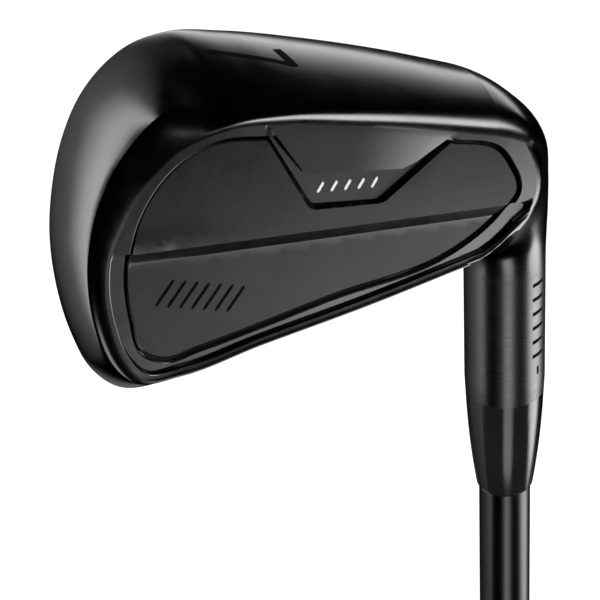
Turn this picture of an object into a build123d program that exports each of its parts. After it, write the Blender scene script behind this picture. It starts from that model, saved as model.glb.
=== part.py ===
from build123d import *
import math
import os

os.makedirs("parts", exist_ok=True)

# A right-handed 7 iron. Millimetres and degrees throughout.
# Row frame: the origin is the middle of the grip's butt end, +Z runs along the shaft from
# the butt to the head, +Y points at the target and the head's toe is on the -X side.
# Head frame: x runs from the heel to the toe, y points at the target and z is up when the
# club is held at address; its origin is the point where the shaft axis meets the ground.

# ---- the whole club ----
CLUB_LENGTH = 940.0
LIE = 63.0
LOFT = 30.0
LEADING_EDGE_Y = 4.4
BACK_LEAN = 14.3
BACK_TURN = 5.0
BACK_Y = -13.0
PLANE_RISE = 0.2

# ---- hosel, shaft and ferrule; t is the distance from the ground along the shaft axis ----
HOSEL_R = 6.95
HOSEL_END_R = 6.82
HOSEL_END_T = 62.0
HOSEL_TURNED = 2.6
BORE_DEPTH = 32.0
BORE_R = 4.62
EPOXY_FLOOR = 0.6
TIP_R = 4.52
BUTT_R = 7.62
SHAFT_WALL = 0.5
BUTT_LENGTH = 272.0
STEP_COUNT = 14
STEP_PITCH = 34.0
TIP_PLUG_LENGTH = 16.0
FERRULE_LENGTH = 20.6
FERRULE_TIP_R = 4.95
FERRULE_LIP = 0.4
FERRULE_CURVE = [(6.42, 7.0), (5.83, 13.5), (5.3, 17.8)]

# ---- grip ----
GRIP_LENGTH = 267.0
TAPE_T = 0.16
TAPE_SHORT = 5.0
CAP_R = 14.4
CAP_T = 4.5
CAP_ROUND = 1.6
VENT_R = 1.4
GRIP_CURVE = [(13.2, 0.0), (12.0, 45.0), (10.9, 110.0), (10.0, 180.0), (9.2, 245.0)]
GRIP_MOUTH_R = 8.9
RING_HEIGHTS = [26.0, 29.0, 236.0, 239.0]
RING_WIDTH = 1.2
RING_DEPTH = 0.35
BAND_START = 276.0
BAND_LENGTH = 26.0
BAND_T = 0.12

# ---- blade: rims run from the heel along the sole and round the toe to the topline ----
# The two rims match point for point; each is in its own plane's local coordinates.
FACE_RIM = [
    (-9, 5.6), (0, 2.1), (17, 1.2), (42, 1.9), (62, 3.9), (71.5, 7.4), (79, 15.2),
    (82.8, 25.5), (83.2, 36), (80.4, 47), (75, 55.3), (69.5, 58.3), (63.5, 57.0),
]
BACK_RIM = [
    (-9, 4.4), (2, 3.4), (19, 3.7), (43, 5.8), (62, 8.0), (71, 10.4), (78.5, 15.4),
    (83, 22), (84.4, 29), (82.8, 36.5), (78.6, 43.4), (73, 48.2), (65, 47.4),
]
FACE_TOP_HEEL = (-9, 21.5)
BACK_TOP_HEEL = (-9, 18.5)
SOLE_CAMBER = 3.4
CAMBER_FADE = 24.0
BLADE_HEEL_X = 10.0

# ---- heel: sections turn from the blade's wedge into the hosel's circle ----
# Each loop has eight points, given as (share of the way from bottom to top, y).
# Each section has its bottom and top points as (x, z), and its share of roundness.
BLADE_LOOP = [
    (0, 3.8), (0.47, -3.2), (1, -11.3), (0.985, -15.6),
    (0.945, -20.4), (0.50, -17.6), (0.085, -14.9), (-0.055, -5.0),
]
HEEL_SECTIONS = [
    ((10, 1.3), (10, 27.3), 0.0),
    ((1.5, 1.9), (3.5, 25.4), 0.10),
    ((-6.5, 4.2), (-1.5, 25.4), 0.34),
    ((-13.0, 10.2), (-4.6, 27.2), 0.66),
    ((-16.9, 17.8), (-6.6, 29.2), 0.88),
    ((-19.4, 22.8), (-7.8, 31.0), 0.975),
]
ROUND_T = [34.0, 38.0]
HEEL_DIVISIONS = 4

# ---- face insert, cavity, core and weights ----
FACE_T = 2.1
INSERT_RIM = [
    (5, 4.6), (30, 4.2), (60, 6.0), (70, 9.6), (77.4, 17), (80.5, 26), (80.9, 36),
    (78.2, 46), (73.2, 53.2), (68.5, 55.6), (63.5, 54.4),
]
INSERT_TOP_HEEL = (5, 25.8)
SCORE_COUNT = 14
SCORE_PITCH = 3.3
SCORE_START = 8.5
SCORE_WIDTH = 0.8
SCORE_DEPTH = 0.4
SCORE_HEEL_X = 13.0
SCORE_TOE_X = 64.0
BACK_WALL = 2.2
CAVITY_FRONT = [(11, 7.2), (60, 8.5), (73, 16), (77, 28), (74.5, 43), (67, 50), (60, 49.6), (11, 24)]
CAVITY_BACK = [(11, 7), (58, 9.8), (68, 13), (73.5, 20), (73.5, 31), (66, 36), (58, 35.6), (11, 20)]
CAVITY_CORNER_R = 3.0
CORE_AT = (37.0, 19.5)
CORE_R = 7.0
PLUG_R = 8.0
PLUG_DEPTH = 6.5
SPANNER_R = 0.9
SPANNER_SPREAD = 4.5
SPANNER_DEPTH = 1.6
TOE_WEIGHT_X = 60.0
TOE_WEIGHT_TOP = 17.0
HEEL_WEIGHT_X = 24.0
HEEL_WEIGHT_TOP = 12.0

# ---- muscle plate, in the back plane: straight sole side, round toe, straight topline side ----
# The step is the crease between the plate's sole half and its lower topline half.
PLATE_T = 1.5
ADHESIVE_T = 0.25
PLATE_GAP = 0.3
STEP_DROP = 0.6
PLATE_OUTLINE = [
    (10, 6.6), (56.7, 10.2), (67, 12.1), (74.4, 17.3), (78, 24.6), (78, 32.5), (75.5, 39.2),
    (71, 43.8), (65, 44.9), (15, 25.9), (9.4, 22.6), (4.4, 17.2), (1.9, 12.5), (4.5, 8.6),
]
PLATE_TOE_END = 8
SHELF_WIDTH = 1.9
STEP_HEEL = (0, 15.2)
STEP_SLOPE = 10.4
CHEVRON = [(19.2, 6.0), (29.4, 17.8), (30.6, 18.6), (43.2, 19.9), (44.2, 19.6), (57.5, 9.4)]
INLAY_T = 0.5
INLAY_SUNK = 0.5

# ---- marks: plain strokes only ----
PAINT_T = 0.25
SEVEN_BAR = ((57.0, -7.6), (59.6, -15.0))
SEVEN_LEG = ((59.3, -14.6), (73.6, -11.2))
SEVEN_STROKE = 1.3
SEVEN_LOW = -5.0
SEVEN_HIGH = 15.0
HOSEL_MARK_AZIMUTH = -69.0
HOSEL_MARK_T = [38.0, 40.9, 43.8, 46.7, 49.6, 52.5]
HOSEL_MARK_SIZE = (2.0, 0.5)
HOSEL_DASH_T = 55.8
HOSEL_DASH_SIZE = (0.5, 1.6)
PLATE_MARK_COUNT = 7
PLATE_MARK_START = (55.0, 32.6)
PLATE_MARK_PITCH = 2.3
PLATE_MARK_SIZE = (5.0, 0.6)
PLATE_MARK_SLANT = 60.0
INLAY_MARK_COUNT = 4
INLAY_MARK_START = (32.6, 16.9)
INLAY_MARK_PITCH = 2.8
INLAY_MARK_SIZE = (2.2, 0.6)
INLAY_MARK_SLANT = 65.0
FAR = 200.0

SIN_LIE = math.sin(math.radians(LIE))
COS_LIE = math.cos(math.radians(LIE))
SIN_LOFT = math.sin(math.radians(LOFT))
COS_LOFT = math.cos(math.radians(LOFT))
PLATE_FLOOR = -(PLATE_T + STEP_DROP)
POCKET_FLOOR = PLATE_FLOOR - ADHESIVE_T
CAVITY_DEPTH = POCKET_FLOOR - BACK_WALL
INLAY_TOP = -(STEP_DROP + INLAY_SUNK)
HOSEL_END_Z = CLUB_LENGTH - HOSEL_END_T
BORE_FLOOR_Z = HOSEL_END_Z + BORE_DEPTH
TIP_Z = BORE_FLOOR_Z - EPOXY_FLOOR
SHAFT_STEP = (BUTT_R - TIP_R) / STEP_COUNT
BAND_R = BUTT_R - SHAFT_STEP
CUT_ABOVE = 1.0

# The head frame placed in the row frame.
ADDRESS = Plane(
    origin=(0, 0, CLUB_LENGTH),
    x_dir=(-SIN_LIE, 0, COS_LIE),
    z_dir=(-COS_LIE, 0, -SIN_LIE),
)

# Face plane: local x to the toe, local y up the face, local z into the head.
FACE = Plane(
    origin=(0, LEADING_EDGE_Y, PLANE_RISE),
    x_dir=(1, 0, 0),
    z_dir=(0, -COS_LOFT, -SIN_LOFT),
)

# Back plane: local x to the toe, local y up the back, local z out of the back.
BACK_X = Vector(1, 0, 0).rotate(Axis.Z, -BACK_TURN)
BACK_UP = Vector(0, 0, 1).rotate(Axis.X, BACK_LEAN)
BACK = Plane(origin=(0, BACK_Y, PLANE_RISE), x_dir=BACK_X, z_dir=BACK_X.cross(BACK_UP))


# ---- helpers ----
def in_plane(plane, x, y):
    """A point given in a plane's local coordinates, in the head frame."""
    return plane.from_local_coords(Vector(x, y, 0))


def to_row(shape):
    """Moves a shape from the head frame to the row frame."""
    return ADDRESS.location * shape


def save(shape, node):
    """Writes one node's solids."""
    export_step(shape, f"parts/{node}.step")


def slab(plane, outline, low, high):
    """A flat outline in a plane's local coordinates, thickened between two depths."""
    return plane.location * Pos(0, 0, low) * extrude(outline, high - low, dir=(0, 0, 1))


def tube(outer_r, inner_r, low, high):
    """Tube about the shaft axis between two heights of the row frame."""
    ring = Cylinder(outer_r, high - low) - Cylinder(inner_r, high - low)
    return Pos(0, 0, (low + high) / 2) * ring


def rod(radius, low, high):
    """Solid bar about the shaft axis between two heights of the row frame."""
    return Pos(0, 0, (low + high) / 2) * Cylinder(radius, high - low)


def turned(points):
    """Solid of revolution about the shaft axis from (radius, height) points."""
    profile = make_face(Polyline(*[(r, 0, z) for r, z in points], close=True))
    return revolve(profile, Axis.Z)


def bar(middle, size, angle, low, high):
    """Straight bar of a mark in a plane's local coordinates."""
    return Pos(*middle, (low + high) / 2) * Rot(0, 0, angle) * Box(*size, high - low)


def stroke(start, end, width, low, high):
    """Bar from one point to another."""
    run = Vector(*end) - Vector(*start)
    middle = (Vector(*start) + Vector(*end)) / 2
    angle = math.degrees(math.atan2(run.Y, run.X))
    return bar((middle.X, middle.Y), (run.length, width), angle, low, high)


# ---- blade, heel and hosel ----
def rim_wire(rim, top_heel):
    """Closed blade outline: the rim as one curve, then the topline and the heel."""
    return Wire([Spline(*rim), Line(rim[-1], top_heel), Line(top_heel, rim[0])])


def middle_rim():
    """Rim points half way through the blade, lowered along the sole to give it camber."""
    points = []
    for face_point, back_point in zip(FACE_RIM, BACK_RIM):
        middle = (in_plane(FACE, *face_point) + in_plane(BACK, *back_point)) / 2
        camber = SOLE_CAMBER * max(0.0, 1 - middle.Z / CAMBER_FADE) ** 2
        points.append(middle - Vector(0, 0, camber))
    return points


def blade():
    """Wedge between the face plane and the back plane, with a cambered sole."""
    middle = middle_rim()
    top_heel = (in_plane(FACE, *FACE_TOP_HEEL) + in_plane(BACK, *BACK_TOP_HEEL)) / 2
    whole = Solid.make_loft([
        FACE.location * rim_wire(FACE_RIM, FACE_TOP_HEEL),
        rim_wire(middle, top_heel),
        BACK.location * rim_wire(BACK_RIM, BACK_TOP_HEEL),
    ])
    return whole & (Pos(BLADE_HEEL_X + FAR / 2, 0, 0) * Box(FAR, FAR, FAR))


def hosel_loop():
    """The eight points of a loop on the hosel's circle, in the order of BLADE_LOOP."""
    angles = [math.radians(-45 + 45 * i) for i in range(8)]
    return [((1 + math.sin(a)) / 2, HOSEL_R * math.cos(a)) for a in angles]


def heel_section(bottom, top, roundness):
    """Closed wire of four arcs between a bottom and a top point of the head's outline."""
    points = []
    for blade_point, hosel_point in zip(BLADE_LOOP, hosel_loop()):
        share = blade_point[0] + (hosel_point[0] - blade_point[0]) * roundness
        y = blade_point[1] + (hosel_point[1] - blade_point[1]) * roundness
        x = bottom[0] + (top[0] - bottom[0]) * share
        z = bottom[1] + (top[1] - bottom[1]) * share
        points.append((x, y, z))
    arcs = []
    for i in range(0, 8, 2):
        arcs.append(ThreePointArc(points[i], points[i + 1], points[(i + 2) % 8]))
    return Wire(arcs)


def hosel_section(t):
    """Bottom point, top point and roundness of the hosel at a height t along the shaft axis."""
    bottom = (-t * COS_LIE - HOSEL_R * SIN_LIE, t * SIN_LIE - HOSEL_R * COS_LIE)
    top = (-t * COS_LIE + HOSEL_R * SIN_LIE, t * SIN_LIE + HOSEL_R * COS_LIE)
    return (bottom, top, 1.0)


def smooth(before, start, end, after, share):
    """Value part of the way from start to end, on a curve that also heeds its neighbours."""
    slope_in = (end - before) / 2
    slope_out = (after - start) / 2
    bend = 3 * (end - start) - 2 * slope_in - slope_out
    twist = slope_in + slope_out - 2 * (end - start)
    return start + slope_in * share + bend * share**2 + twist * share**3


def heel_stations():
    """The heel's sections with more between each pair, as rows of five values."""
    sections = HEEL_SECTIONS + [hosel_section(t) for t in ROUND_T]
    rows = [[*bottom, *top, roundness] for bottom, top, roundness in sections]
    last = len(rows) - 1
    stations = []
    for i in range(last):
        near = [rows[max(i - 1, 0)], rows[i], rows[i + 1], rows[min(i + 2, last)]]
        for part in range(HEEL_DIVISIONS):
            share = part / HEEL_DIVISIONS
            stations.append([smooth(*values, share) for values in zip(*near)])
    return stations + [rows[last]]


def heel():
    """Transition from the blade's wedge to the round hosel."""
    sections = []
    for bottom_x, bottom_z, top_x, top_z, roundness in heel_stations():
        sections.append(heel_section((bottom_x, bottom_z), (top_x, top_z), roundness))
    return Solid.make_loft(sections, ruled=True)


def hosel():
    """Round hosel from the heel to the ferrule, turned down slightly at its end. Row frame."""
    top = CLUB_LENGTH - ROUND_T[-1]
    return turned([
        (0, HOSEL_END_Z), (HOSEL_END_R, HOSEL_END_Z), (HOSEL_R, HOSEL_END_Z + HOSEL_TURNED),
        (HOSEL_R, top), (0, top),
    ])


def outer_head():
    """The head's outside as one solid, with no pockets, in the row frame."""
    return to_row(blade() + heel()) + hosel()


# ---- muscle plate shapes ----
def grown(points, margin):
    """Closed outline's points moved outwards, square to the line between their neighbours."""
    moved = []
    for i, (x, y) in enumerate(points):
        before = Vector(*points[i - 1])
        after = Vector(*points[(i + 1) % len(points)])
        run = (after - before).normalized()
        moved.append((x + run.Y * margin, y - run.X * margin))
    return moved


def plate_wire(margin):
    """Outline of the muscle plate, grown by a margin, in the back plane's local coordinates."""
    points = grown(PLATE_OUTLINE, margin)
    sole = Line(points[0], points[1])
    top = Line(points[PLATE_TOE_END], points[PLATE_TOE_END + 1])
    toe = Spline(*points[1:PLATE_TOE_END + 1], tangents=[sole % 1, top % 0])
    heel_end = Spline(*points[PLATE_TOE_END + 1:], points[0], tangents=[top % 1, sole % 0])
    return Wire([sole, toe, top, heel_end])


def plate_slab(margin, low, high):
    """The plate's outline grown by a margin, between two depths of the back plane."""
    return slab(BACK, Face(plate_wire(margin)), low, high)


def topline_side(low, high):
    """Everything on the topline side of the step, between two depths of the back plane."""
    block = Pos(0, FAR / 2, (low + high) / 2) * Box(FAR, FAR, high - low)
    return BACK.location * Pos(*STEP_HEEL) * Rot(0, 0, STEP_SLOPE) * block


def shelf_cut():
    """The shallow recess on the topline side of the step."""
    return plate_slab(SHELF_WIDTH, -STEP_DROP, CUT_ABOVE) & topline_side(-STEP_DROP, CUT_ABOVE)


def chevron(low, high):
    """The opening for the inlay on the plate's sole side."""
    return slab(BACK, make_face(Polyline(*CHEVRON, close=True)), low, high)


# ---- inside of the head ----
def rounded(corners):
    """Closed outline with straight sides and round corners."""
    flat = make_face(Polyline(*corners, close=True))
    return fillet(flat.vertices(), CAVITY_CORNER_R).face().outer_wire()


def cavity():
    """The hollow between the face insert and the back wall."""
    front = FACE.location * Pos(0, 0, FACE_T) * rounded(CAVITY_FRONT)
    back = BACK.location * Pos(0, 0, CAVITY_DEPTH) * rounded(CAVITY_BACK)
    return Solid.make_loft([front, back], ruled=True)


def insert_slab(depth):
    """The face insert's outline, from the face plane into the head."""
    return slab(FACE, Face(rim_wire(INSERT_RIM, INSERT_TOP_HEEL)), 0, depth)


def score_lines():
    """The grooves across the face."""
    middle = (SCORE_HEEL_X + SCORE_TOE_X) / 2
    groove = Box(SCORE_TOE_X - SCORE_HEEL_X, SCORE_WIDTH, 2 * SCORE_DEPTH)
    heights = [SCORE_START + SCORE_PITCH * i for i in range(SCORE_COUNT)]
    return [FACE.location * Pos(middle, height, 0) * groove for height in heights]


def core_rod(radius, low, high):
    """Cylinder square to the back at the core's place, between two depths of the back plane."""
    return BACK.location * Pos(*CORE_AT, (low + high) / 2) * Cylinder(radius, high - low)


def core_plug():
    """Plug that closes the back wall and holds the core against the face."""
    plug = core_rod(PLUG_R, -PLUG_DEPTH, POCKET_FLOOR)
    for side in (-1, 1):
        hole = Pos(CORE_AT[0] + side * SPANNER_SPREAD, CORE_AT[1], POCKET_FLOOR)
        plug -= BACK.location * hole * Cylinder(SPANNER_R, 2 * SPANNER_DEPTH)
    return plug


def core_damper():
    """Elastomer core between the plug and the back of the face insert."""
    in_front = FACE.location * Pos(0, 0, FACE_T - FAR / 2) * Box(FAR, FAR, FAR)
    return core_rod(CORE_R, -FAR / 4, -PLUG_DEPTH) - in_front


def corner_block(low_x, high_x, top_z):
    """Block that picks a weight's share of the cavity."""
    middle = ((low_x + high_x) / 2, 0, top_z / 2)
    return Pos(*middle) * Box(high_x - low_x, FAR, top_z)


# ---- marks ----
def sole_engraving(head):
    """Cutter for the club's number 7, as deep as the paint and open below the sole."""
    bar_block = stroke(*SEVEN_BAR, SEVEN_STROKE, SEVEN_LOW, SEVEN_HIGH)
    leg_block = stroke(*SEVEN_LEG, SEVEN_STROKE, SEVEN_LOW, SEVEN_HIGH)
    return to_row(bar_block + leg_block) - Location(ADDRESS.z_dir * PAINT_T) * head


def hosel_engravings():
    """Cutters for a row of short strokes down the hosel, ending in a dash."""
    cutters = []
    marks = [(t, HOSEL_MARK_SIZE) for t in HOSEL_MARK_T] + [(HOSEL_DASH_T, HOSEL_DASH_SIZE)]
    for t, size in marks:
        place = Pos(FAR / 8, 0, CLUB_LENGTH - t)
        block = Rot(0, 0, HOSEL_MARK_AZIMUTH) * place * Box(FAR / 4, *size)
        cutters.append(block - rod(HOSEL_R - PAINT_T, HOSEL_END_Z, CLUB_LENGTH))
    return cutters


def mark_row(start, pitch, count, size, slant, low, high):
    """Row of slanted bars along the topline's direction in the back plane."""
    along = math.radians(STEP_SLOPE)
    bars = []
    for i in range(count):
        middle = (start[0] + i * pitch * math.cos(along), start[1] + i * pitch * math.sin(along))
        bars.append(BACK.location * bar(middle, size, slant, low, high))
    return Compound(bars)


# ---- shaft, ferrule and grip, in the row frame ----
def shaft_profile(outwards):
    """Stepped line of (radius, height) points from the butt to the tip."""
    points = [(BUTT_R + outwards, CAP_T)]
    for i in range(STEP_COUNT):
        height = BUTT_LENGTH + i * STEP_PITCH
        points.append((BUTT_R - i * SHAFT_STEP + outwards, height))
        points.append((BUTT_R - (i + 1) * SHAFT_STEP + outwards, height))
    points.append((TIP_R + outwards, TIP_Z))
    return points


def shaft():
    """Stepped steel tube."""
    outside = shaft_profile(0)
    inside = shaft_profile(-SHAFT_WALL)
    return turned(outside + inside[::-1])


def epoxy():
    """Bond between the shaft's tip and the hosel's bore, closed at the bore's floor."""
    return rod(BORE_R, HOSEL_END_Z, BORE_FLOOR_Z) - rod(TIP_R, HOSEL_END_Z, TIP_Z)


def ferrule():
    """Tapered collar between the hosel's end and the shaft."""
    low = HOSEL_END_Z - FERRULE_LENGTH
    curve = [(r, 0, HOSEL_END_Z - drop) for r, drop in FERRULE_CURVE]
    side = Spline((HOSEL_END_R, 0, HOSEL_END_Z), *curve, (FERRULE_TIP_R, 0, low + FERRULE_LIP))
    end = (FERRULE_TIP_R - FERRULE_LIP / 2, 0, low)
    rest = Polyline(side @ 1, end, (TIP_R, 0, low), (TIP_R, 0, HOSEL_END_Z), side @ 0)
    return revolve(make_face([side, *rest.edges()]), Axis.Z)


def grip_outside():
    """The grip's outer line from under the cap to the mouth."""
    return Spline(*[(r, 0, CAP_T + z) for r, z in GRIP_CURVE])


def grip():
    """Rubber sleeve over the taped butt of the shaft."""
    inner = BUTT_R + TAPE_T
    side = grip_outside()
    rest = Polyline(
        side @ 1, (GRIP_MOUTH_R, 0, GRIP_LENGTH), (inner, 0, GRIP_LENGTH), (inner, 0, CAP_T), side @ 0,
    )
    return revolve(make_face([side, *rest.edges()]), Axis.Z)


def grip_rings(sleeve):
    """Paint in the grip's ring grooves."""
    rings = []
    for z in RING_HEIGHTS:
        band = sleeve & tube(2 * CAP_R, BUTT_R, z, z + RING_WIDTH)
        radius = band.bounding_box().size.X / 2
        rings.append(band - rod(radius - RING_DEPTH, z, z + RING_WIDTH))
    return Compound(rings)


def grip_cap():
    """Butt cap with a vent hole."""
    disc = Cylinder(CAP_R, CAP_T)
    disc = fillet(disc.edges().filter_by(GeomType.CIRCLE), CAP_ROUND)
    return Pos(0, 0, CAP_T / 2) * (disc - Cylinder(VENT_R, CAP_T))


# ---- the nodes ----
HEAD = outer_head()
HOLLOW = cavity()
TOE_WEIGHT = HOLLOW & corner_block(TOE_WEIGHT_X, FAR, TOE_WEIGHT_TOP)
HEEL_WEIGHT = HOLLOW & corner_block(-FAR, HEEL_WEIGHT_X, HEEL_WEIGHT_TOP)
NUMBER_CUT = sole_engraving(HEAD)
HOSEL_CUTS = hosel_engravings()
PLATE_MARKS = mark_row(
    PLATE_MARK_START, PLATE_MARK_PITCH, PLATE_MARK_COUNT, PLATE_MARK_SIZE, PLATE_MARK_SLANT,
    -STEP_DROP - PAINT_T, -STEP_DROP,
)
INLAY_MARKS = mark_row(
    INLAY_MARK_START, INLAY_MARK_PITCH, INLAY_MARK_COUNT, INLAY_MARK_SIZE, INLAY_MARK_SLANT,
    INLAY_TOP - PAINT_T, INLAY_TOP,
)

pockets = [
    insert_slab(FACE_T), HOLLOW, plate_slab(PLATE_GAP, POCKET_FLOOR, CUT_ABOVE), shelf_cut(),
    core_rod(PLUG_R, -PLUG_DEPTH, POCKET_FLOOR),
]
body = HEAD
for pocket in pockets:
    body -= to_row(pocket)
body -= rod(BORE_R, HOSEL_END_Z, BORE_FLOOR_Z)
for cut in [*HOSEL_CUTS, NUMBER_CUT]:
    body -= cut
save(body, "head_body")

insert = insert_slab(FACE_T)
for groove in score_lines():
    insert -= groove
save(to_row(insert), "face_insert")
save(to_row(TOE_WEIGHT), "toe_weight")
save(to_row(HEEL_WEIGHT), "heel_weight")
save(to_row(core_damper()), "core_damper")
save(to_row(core_plug()), "core_plug")

plate = plate_slab(0, PLATE_FLOOR, 0) - shelf_cut()
plate = plate - chevron(INLAY_TOP - INLAY_T, CUT_ABOVE) - PLATE_MARKS
save(to_row(plate), "muscle_plate")
save(to_row(plate_slab(0, POCKET_FLOOR, PLATE_FLOOR)), "plate_adhesive")
inlay = chevron(INLAY_TOP - INLAY_T, INLAY_TOP) & plate_slab(0, PLATE_FLOOR, 0)
save(to_row(inlay - INLAY_MARKS), "chevron_inlay")
save(to_row(INLAY_MARKS), "inlay_marks")
save(to_row(PLATE_MARKS), "plate_marks_paint")
save(NUMBER_CUT & HEAD, "sole_number_paint")
hosel_paint = [cut & rod(HOSEL_R, HOSEL_END_Z, CLUB_LENGTH) for cut in HOSEL_CUTS]
save(Compound(hosel_paint), "hosel_marks_paint")

save(shaft(), "shaft")
save(epoxy(), "hosel_epoxy")
save(rod(TIP_R - SHAFT_WALL, TIP_Z - TIP_PLUG_LENGTH, TIP_Z), "tip_plug")
save(ferrule(), "ferrule")
save(tube(BAND_R + BAND_T, BAND_R, BAND_START, BAND_START + BAND_LENGTH), "shaft_band")
sleeve = grip()
RINGS = grip_rings(sleeve)
save(sleeve - RINGS, "grip")
save(RINGS, "grip_paint_rings")
save(tube(BUTT_R + TAPE_T, BUTT_R, CAP_T, GRIP_LENGTH - TAPE_SHORT), "grip_tape")
save(grip_cap(), "grip_cap")
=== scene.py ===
import math

import bmesh
import bpy
import numpy as np
from mathutils import Matrix, Vector
from mathutils.geometry import delaunay_2d_cdt


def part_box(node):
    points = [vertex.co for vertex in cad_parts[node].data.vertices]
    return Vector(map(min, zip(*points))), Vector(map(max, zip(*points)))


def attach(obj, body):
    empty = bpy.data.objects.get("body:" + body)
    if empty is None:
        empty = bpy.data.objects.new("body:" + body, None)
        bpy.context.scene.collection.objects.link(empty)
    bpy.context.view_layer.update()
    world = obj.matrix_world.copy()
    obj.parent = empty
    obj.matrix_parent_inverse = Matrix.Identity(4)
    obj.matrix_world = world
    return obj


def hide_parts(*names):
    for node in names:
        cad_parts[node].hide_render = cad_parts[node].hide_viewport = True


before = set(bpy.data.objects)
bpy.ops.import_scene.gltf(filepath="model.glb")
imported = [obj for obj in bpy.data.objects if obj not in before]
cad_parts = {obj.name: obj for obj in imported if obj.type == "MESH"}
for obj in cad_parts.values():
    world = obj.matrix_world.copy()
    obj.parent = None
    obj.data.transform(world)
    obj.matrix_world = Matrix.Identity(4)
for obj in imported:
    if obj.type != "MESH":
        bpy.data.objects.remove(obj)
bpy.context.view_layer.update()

MM = 0.001

# ---- where things are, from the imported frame; millimetres ----
HOSEL_END_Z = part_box("ferrule")[1].z / MM
HOSEL_END_T = 62.0
CLUB_LENGTH = HOSEL_END_Z + HOSEL_END_T

# ---- head frame: x to the toe, y to the target, z up at address; millimetres ----
LIE = math.radians(63.0)
LOFT = math.radians(30.0)
BACK_LEAN = math.radians(14.3)
BACK_TURN = math.radians(5.0)
SIN_LIE, COS_LIE = math.sin(LIE), math.cos(LIE)

# ---- hosel ----
HOSEL_R = 6.95
HOSEL_END_R = 6.82
HOSEL_LOOPS_T = (42.0, 46.0, 50.0, 54.0, 58.0)
HOSEL_TURNED = 2.6
TURNED_LEAD = 0.3
TURNED_DROP = 0.005
BORE_R = 4.62
BORE_DEPTH = 32.0
BORE_END_R = 0.01

# ---- rim of the blade, from the sole's heel round the toe to the topline's heel ----
# Each row: face edge (x, w) | crease (x, v, depth) | lip (x, v) | sharpness of the crease |
# bulge | roll at the face edge, at the crease and at the lip.
RIM = [
    (10, 1.25, 10, 1, -6, 10, 3.1, 0, 0.6, 0.9, 0.4, 2.2),
    (24, 1.2, 24, 1.4, -6, 24, 3.9, 0, 0.6, 0.9, 0.4, 1.8),
    (40, 1.8, 40, 3.1, -6, 40, 5.2, 0, 0.6, 0.9, 0.4, 1.4),
    (55, 3, 55, 5, -6, 55, 6.9, 0, 0.6, 0.9, 0.4, 0.9),
    (65, 4.6, 65.3, 6.35, -5, 64, 8.8, 0.15, 0.7, 0.9, 0.4, 0.6),
    (71, 7.2, 73, 7.6, -3.2, 69.2, 11, 1, 0.8, 0.9, 0.35, 0.4),
    (76, 11.4, 77.7, 10.1, -2, 73.6, 13.7, 1, 0.9, 0.9, 0.25, 0.3),
    (79.7, 16.5, 80.8, 13.5, -1.7, 77, 17.2, 1, 1, 0.8, 0.2, 0.3),
    (82.2, 23, 83.7, 17.7, -1.1, 79.6, 21, 1, 1, 0.8, 0.2, 0.3),
    (83.3, 30, 85.6, 23.2, -0.85, 81.1, 25.2, 1, 1, 0.7, 0.2, 0.3),
    (83.2, 37, 85.7, 29, -0.8, 82.2, 30, 1, 1, 0.7, 0.2, 0.3),
    (81.6, 44, 84.3, 35.1, -0.8, 81.6, 34.4, 1, 0.9, 0.6, 0.2, 0.4),
    (78.4, 51, 81.5, 41, -0.8, 78.7, 40.7, 1, 0.8, 0.6, 0.25, 0.5),
    (74.5, 56, 77.8, 45.7, -0.8, 75.4, 44.9, 1, 0.6, 0.6, 0.35, 0.5),
    (69.5, 58.3, 73, 48.5, -0.5, 70.8, 47.4, 1, 0.4, 0.6, 0.5, 0.4),
    (63.5, 57, 64.9, 47.1, -0.3, 64.2, 46.1, 1, 0.3, 0.6, 0.5, 0.4),
    (50, 50.4, 50.5, 41.8, -0.3, 50.5, 40.9, 1, 0.3, 0.6, 0.5, 0.4),
    (30, 40.6, 30, 34.3, -0.3, 30, 33.4, 1, 0.3, 0.6, 0.5, 0.4),
    (10, 30.8, 10, 26.4, -0.3, 10, 25.5, 1, 0.3, 0.6, 0.5, 0.4),
]
RIM_DIVISIONS = 8
SOLE_LEAVE = (0.0, -6.0, -1.9)
SOLE_ARRIVE = (0.0, 5.7, -4.4)
SOLE_SPLIT = 0.62
REAR_BULGE = 0.35
ROLL_GAIN = 0.35
PROFILE_SAMPLES = 30
FRONT_POINTS, REAR_POINTS = 16, 8
FACE_ROLL_POINTS, CREST_POINTS, LIP_ROLL_POINTS = 8, 5, 7

# ---- heel: bottom (x, z), top (x, z), roundness; the blade's section leads in to the first one ----
BLADE_SECTION = (24.0, 1.24, 24.0, 32.9, 0.1)
HEEL_SECTIONS = [
    (10.0, 1.3, 10.0, 27.3, 0.0),
    (1.9, 2.6, 3.5, 25.4, 0.04),
    (-4.9, 5.2, -1.5, 25.4, 0.34),
    (-11.1, 11.0, -4.6, 27.2, 0.67),
    (-16.4, 18.0, -6.6, 29.2, 0.88),
    (-19.4, 22.8, -7.8, 31.0, 0.975),
]
ROUND_T = (34.0, 38.0)
HEEL_DIVISIONS = 6
HEEL_EASE = 9.0
LINE_POINTS = 14
FOLLOW_UNTIL = 0.5
TOPLINE_BLEND = 0.85
# The back stays flat over the first stations, from this share of the way to the back surface.
FLAT_STATIONS = 5
FLAT_FADE = 3
FLAT_FROM = 0.75
# Heel end of the back flat, in the back plane: its topline corner at each station, and its bow.
FLAT_CORNER = [(7.4, 23.9), (5.0, 22.2), (3.0, 20.3), (1.3, 18.3), (-0.6, 16.6)]
FLAT_BOW = 2.2
CORNER_FADE = 12
BOW_FADE = 8
# The CAD insert runs further towards the heel than the visible one: the first loops lie over its end.
INSERT_COVER = 9
INSERT_COVER_LIFT = 0.07

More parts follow.
